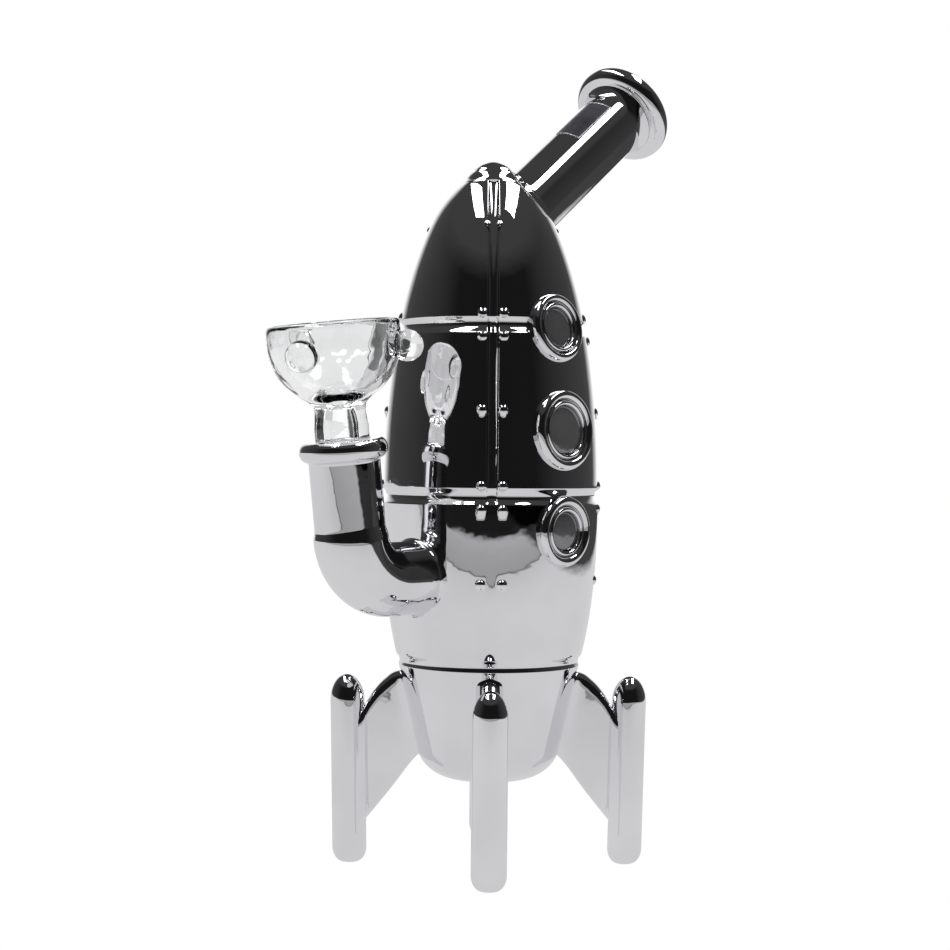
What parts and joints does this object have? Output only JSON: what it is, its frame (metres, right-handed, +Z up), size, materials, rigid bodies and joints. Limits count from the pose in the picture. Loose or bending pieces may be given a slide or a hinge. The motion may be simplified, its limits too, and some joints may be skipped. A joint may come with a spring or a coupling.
{
  "type": "rocket-shaped glass water pipe",
  "caption": "Rocket-shaped water pipe of mirror-plated glass that stands on fins, with an angled neck, a side ground joint and a clear glass bowl that lifts out.",
  "frame": {"origin": "on the surface it stands on, at the middle of the whole object's footprint; the hull's own axis is the vertical line x = 3.570 mm, y = 5.722 mm", "axes": "+Z up along the hull; the fins lie along X and Y from the hull's axis; the front fin is on -Y, the neck leans towards +X+Y and the side joint is on -X-Y"},
  "size_m": [0.1118, 0.116, 0.2299],
  "materials": {
    "plated_glass": "polished silver plating on blown glass",
    "porthole_mirror": "polished silver plating, slightly darker",
    "clear_glass": "clear polished borosilicate glass"
  },
  "bodies": {
    "pipe": {"nose_cap": "plated_glass", "nose_shell": "plated_glass", "upper_hull": "plated_glass", "lower_hull": "plated_glass", "tail_cone": "plated_glass", "neck_tube": "plated_glass", "mouth_lip": "plated_glass", "joint_elbow": "plated_glass", "joint_socket": "plated_glass", "joint_collar": "plated_glass", "downstem": "clear_glass", "diffuser": "clear_glass", "porthole_ring_upper": "plated_glass", "porthole_ring_middle": "plated_glass", "porthole_ring_lower": "plated_glass", "porthole_lens_upper": "porthole_mirror", "porthole_lens_middle": "porthole_mirror", "porthole_lens_lower": "porthole_mirror", "fin_web_right": "plated_glass", "fin_web_back": "plated_glass", "fin_web_left": "plated_glass", "fin_web_front": "plated_glass", "fin_leg_right": "plated_glass", "fin_leg_back": "plated_glass", "fin_leg_left": "plated_glass", "fin_leg_front": "plated_glass"},
    "bowl": {"bowl_stem": "clear_glass", "bowl_cup": "clear_glass", "bowl_knob_1": "clear_glass", "bowl_knob_2": "clear_glass", "bowl_knob_3": "clear_glass"}
  },
  "joints": [
    {"name": "bowl_lift", "type": "slide", "parent": "pipe", "child": "bowl", "axis": [-0.0899, -0.0899, 0.9919], "range_m": [0, 0.045]}
  ]
}
